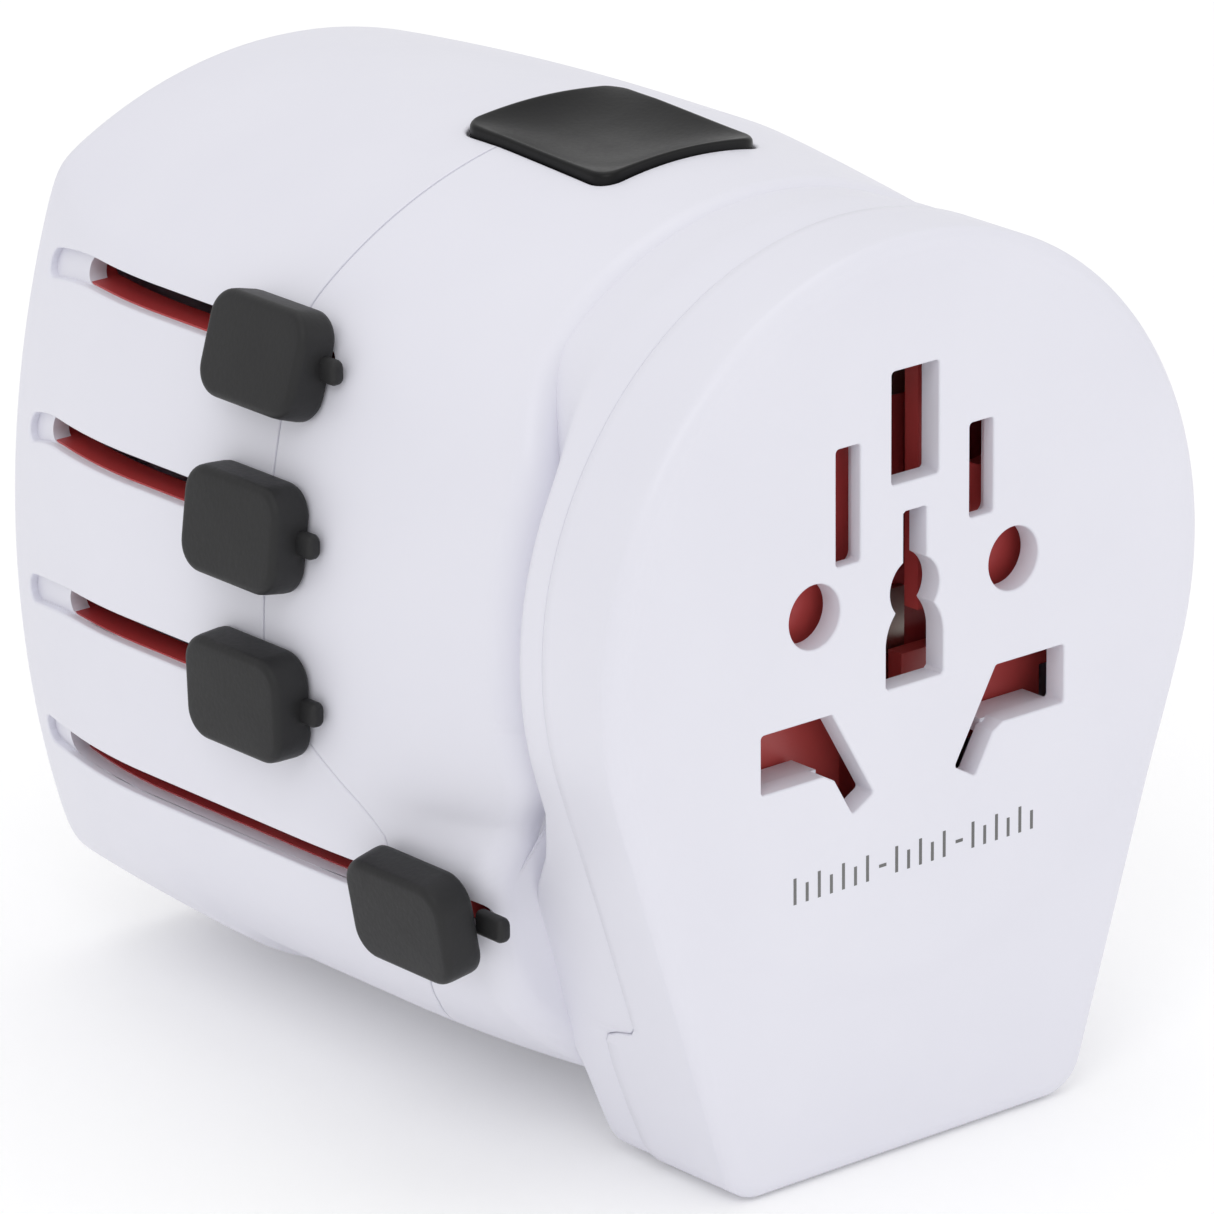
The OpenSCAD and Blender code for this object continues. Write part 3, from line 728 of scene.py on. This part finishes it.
def rectangle(x0, x1, z0, z1):
    return round_corners(np.array([[x1, z0], [x1, z1], [x0, z1], [x0, z0]], float), 0.3)


def keyhole():
    """The middle opening: a slit, a round part and a wider foot."""
    right = [(1.1, 5.75)]
    for a in np.linspace(math.acos(1.1 / 2.35), -math.asin(1.5 / 2.35), 18):
        right.append((2.35 * math.cos(a), 2.35 * math.sin(a)))
    for a in np.linspace(math.asin(2.35 / 3.66), 0, 12):
        right.append((-0.92 + 3.66 * math.cos(a), -4.0 + 3.66 * math.sin(a)))
    right += [(2.74, -5.4), (2.74, -6.9), (2.52, -7.12)]
    return np.array([(0.9, 5.9)] + right + [(-x, z) for x, z in right[::-1]] + [(-0.9, 5.9)])


def line_and_slanted(side):
    """A rectangular line socket joined to a slanted slot, on the left (-1) or the right (1)."""
    p = np.array([[7.87, -7.72], [14.54, -7.72], [14.54, -12.18], [8.6, -12.18], [7.6, -12.75],
                  [5.9, -15.7], [3.9, -14.55]])
    return round_corners(p * [side, 1], 0.28)


HOLE_R, HOLE_X, BLADE_X = 2.4, 9.5, 6.35
hole_angles = np.linspace(0, 2 * math.pi, 64, endpoint=False)
round_hole = np.array([(HOLE_R * math.cos(a), HOLE_R * math.sin(a)) for a in hole_angles])
cover = cover_piece()
for side in (-1, 1):
    cut(cover, hole_cutter(round_hole + [side * HOLE_X, 0]))
    cut(cover, hole_cutter(line_and_slanted(side)))
cut(cover, hole_cutter(rectangle(-7.5, -5.2, 3.2, 11.9), pocket=1.1))
cut(cover, hole_cutter(rectangle(5.2, 7.5, 4.0, 11.1), pocket=1.1))
cut(cover, hole_cutter(rectangle(-2.25, 2.25, 8.1, 16.5)))
cut(cover, hole_cutter(keyhole()))
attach(cover, "case")
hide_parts("socket_cover")

# ---- Contact block: a red disc with an aperture in front of each contact ----


def prism(outline, y0, y1):
    """A straight cutter from y0 to y1."""
    outline = counter_clockwise(np.array(outline, float))
    rings = [np.column_stack([outline[:, 0], np.full(len(outline), y), outline[:, 1]]) for y in (y0, y1)]
    return loft("cutter", rings, red)


def block_piece():
    """The red disc, with blind apertures that leave its back closed."""
    lo, hi = limits("contact_block")
    radius, cz, edge, back = hi[0], (lo[2] + hi[2]) / 2, 0.4, 2
    turn = ((radius * 0.4, lo[1]), (radius - edge, lo[1]), (radius, lo[1] + edge), (radius, hi[1]),
            (radius * 0.4, hi[1]))
    block = loft("contact_block_skin", [circle(y, r, cz) for r, y in turn], red)
    apertures = []
    for side in (-1, 1):
        apertures.append(round_hole + [side * HOLE_X, 0])
        apertures.append(line_and_slanted(side))
        apertures.append(rectangle(side * BLADE_X - 1, side * BLADE_X + 1, 4.0, 11.2))
    apertures.append(rectangle(-2.2, 2.2, 13.6, 16.6))
    for aperture in apertures:
        cut(block, prism(aperture, lo[1] - 1, hi[1] - back))
    return block


block = block_piece()
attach(block, "case")
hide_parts("contact_block")


def base_piece():
    """The flange behind the cover, closed on itself through its hidden inside."""
    seam_line = head_seam(head_outline(0)[:, 1])
    points = head_outline(0)
    side_back, crown_back, reach, hidden_inset, hidden_y = 10.5, 1.7, 2.8, 5.5, COVER_D + 2.6
    zs = [-60, -41.4, -39, -36.4, -33.5, -29.5, -25.4, -23.4, -21.3, -17.6, -13.6, -8]
    low = np.interp(points[:, 1], zs, [3.9, 3.9, 4.3, 4.7, 5.6, 5.3, 4.8, 4.6, 4.1, 1.5, 0, 0])
    from_top = np.degrees(np.abs(np.arctan2(points[:, 0], points[:, 1] - HEAD_Z)))
    high = smooth_step((64 - from_top) / 24)
    back = side_back + crown_back * high + low
    rings = [head_ring(seam_line + 0.1, WALL), head_ring(seam_line + 0.1, 0.32)]
    rings += [head_ring(seam_line + 0.2, 0.2), head_ring(seam_line + 0.4, 0.16)]
    rings.append(head_ring(seam_line + (back - seam_line) * 0.7, 0.18))
    # The flange's back edge: round at the sides, a soft low step under the crown
    turn = ((-0.55, 0.2, 0.17), (-0.3, 0.26, 0.18), (-0.08, 0.42, 0.22), (0.15, 0.75, 0.28), (0.5, 1.4, 0.34),
            (1.2, 2.3, 0.4), (2.0, 3.1, 0.5), (reach, 3.4, 0.6))
    for step, inset, low_step in turn:
        rings.append(head_ring(back + step * (1 + high), inset + (low_step - inset) * high))
    rings.append(head_ring(back + reach * (1 + high), hidden_inset))
    rings.append(head_ring(hidden_y, hidden_inset))
    rings.append(head_ring(hidden_y, WALL))
    return loft("head_base_skin", rings, casing, loop=True)


def shelf(name, x0, x1):
    """A white ledge under a line socket, behind the cover's plate."""
    low, high = -13.4, -12.3
    rings = []
    for y, d in ((1.7, 0.1), (1.8, 0), (4.4, 0)):
        corners = ((x0 + d, low), (x1 - d, low), (x1 - d, high - d), (x0 + d, high - d))
        rings.append(np.array([(x, y, z) for x, z in corners]))
    ledge = loft(name, rings, casing)
    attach(ledge, "case")


shelf("socket_ledge_left", -14.5, -7.9)
shelf("socket_ledge_right", 7.9, 14.5)

base = base_piece()
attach(base, "case")
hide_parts("head_base")

# ---- A plain printed row of bars, in three groups ----

ROW_X, ROW_Z, BAR_H, BAR_W, BAR_PITCH, SHORT_BAR = -11.6, -21.15, 2.0, 0.28, 1.15, 0.72
DASH_X0, DASH_X1, DASH_Z0, DASH_Z1, DASH_PITCH = 0.1, 0.8, 0.75, 1.0, 1.65
INK_Y0, INK_Y1 = -0.012, 0.05
points, faces = [], []


def ink_box(x0, x1, z0, z1):
    """One bar of the print, a thin box on the face."""
    n = len(points)
    for y in (INK_Y0, INK_Y1):
        points.extend([(x0, y, z0), (x1, y, z0), (x1, y, z1), (x0, y, z1)])
    faces.append((n + 3, n + 2, n + 1, n))
    for i in range(4):
        j = (i + 1) % 4
        faces.append((n + i, n + j, n + 4 + j, n + 4 + i))
    faces.append((n + 4, n + 5, n + 6, n + 7))


x = ROW_X
for bars, dash in ((7, True), (5, True), (6, False)):
    for k in range(bars):
        ink_box(x, x + BAR_W, ROW_Z, ROW_Z + (BAR_H if k % 2 == 0 else BAR_H * SHORT_BAR))
        x += BAR_PITCH
    if dash:
        ink_box(x + DASH_X0, x + DASH_X1, ROW_Z + DASH_Z0, ROW_Z + DASH_Z1)
        x += DASH_PITCH
printed = make("printed_bars", points, faces, ink)
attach(printed, "case")

# ---- Camera: the photograph's angle and distance, from the object's own axes ----

AZ, EL, ROLL = math.radians(40.156), math.radians(19.436), math.radians(0.525)
CAMERA_RIGHT, CAMERA_UP, CAMERA_BACK = -21.892, -1.158, 626.678
FOCAL, SENSOR = 8842 / 1214, 36  # The focal length in picture widths, and the sensor's width
back = np.array([-math.sin(AZ) * math.cos(EL), -math.cos(AZ) * math.cos(EL), math.sin(EL)])
right = np.array([math.cos(AZ), -math.sin(AZ), 0.0])
up = np.cross(back, right)
place = (right * CAMERA_RIGHT + up * CAMERA_UP + back * CAMERA_BACK) / 1000
cam_x = math.cos(ROLL) * right - math.sin(ROLL) * up
cam_y = math.sin(ROLL) * right + math.cos(ROLL) * up


def pose(x, y, z, place):
    """The matrix of a thing with those axes at that place, in metres."""
    return Matrix([[x[i], y[i], z[i], place[i]] for i in range(3)] + [[0, 0, 0, 1]])


data = bpy.data.cameras.new("camera")
data.sensor_width = SENSOR
data.lens = FOCAL * SENSOR
data.clip_start, data.clip_end = 0.01, 20
camera = bpy.data.objects.new("camera", data)
bpy.context.collection.objects.link(camera)
camera.matrix_world = pose(cam_x, cam_y, back, place)
bpy.context.scene.camera = camera

# ---- Floor and light ----

FLOOR_HALF, FLOOR_GLOW, WORLD_STRENGTH = 6, 0.1, 0.8
lowest = cad_box[0][2]
floor = bpy.data.objects.new("floor", bpy.data.meshes.new("floor"))
bpy.context.collection.objects.link(floor)
corners = ((-1, -1), (1, -1), (1, 1), (-1, 1))
floor.data.from_pydata([(x * FLOOR_HALF, y * FLOOR_HALF, lowest) for x, y in corners], [], [(0, 1, 2, 3)])
floor_shader = floor_white.node_tree.nodes["Principled BSDF"]
floor_shader.inputs["Emission Color"].default_value = (1, 1, 1, 1)
floor_shader.inputs["Emission Strength"].default_value = FLOOR_GLOW
floor.data.materials.append(floor_white)


def lamp(name, place, size, power):
    """A soft round lamp that faces the middle of the case."""
    light = bpy.data.lights.new(name, "AREA")
    light.shape = "DISK"
    light.size = size
    light.energy = power
    piece = bpy.data.objects.new(name, light)
    bpy.context.collection.objects.link(piece)
    z = np.array(place, float) - np.array((0, 0.03, 0), float)
    z /= np.linalg.norm(z)
    x = np.cross([0, 0, 1], z)
    x /= np.linalg.norm(x)
    y = np.cross(z, x)
    piece.matrix_world = pose(x, y, z, place)


lamp("key", (-0.75, -0.55, 0.9), 0.7, 2.4)
lamp("top", (0.1, 0.25, 1.1), 0.8, 1.6)
lamp("fill", (0.7, -0.9, 0.3), 0.9, 1.0)
world = bpy.data.worlds.new("studio")
world.use_nodes = True
world.node_tree.nodes["Background"].inputs["Color"].default_value = (1, 1, 1, 1)
world.node_tree.nodes["Background"].inputs["Strength"].default_value = WORLD_STRENGTH
bpy.context.scene.world = world
bpy.context.scene.view_settings.view_transform = "Standard"
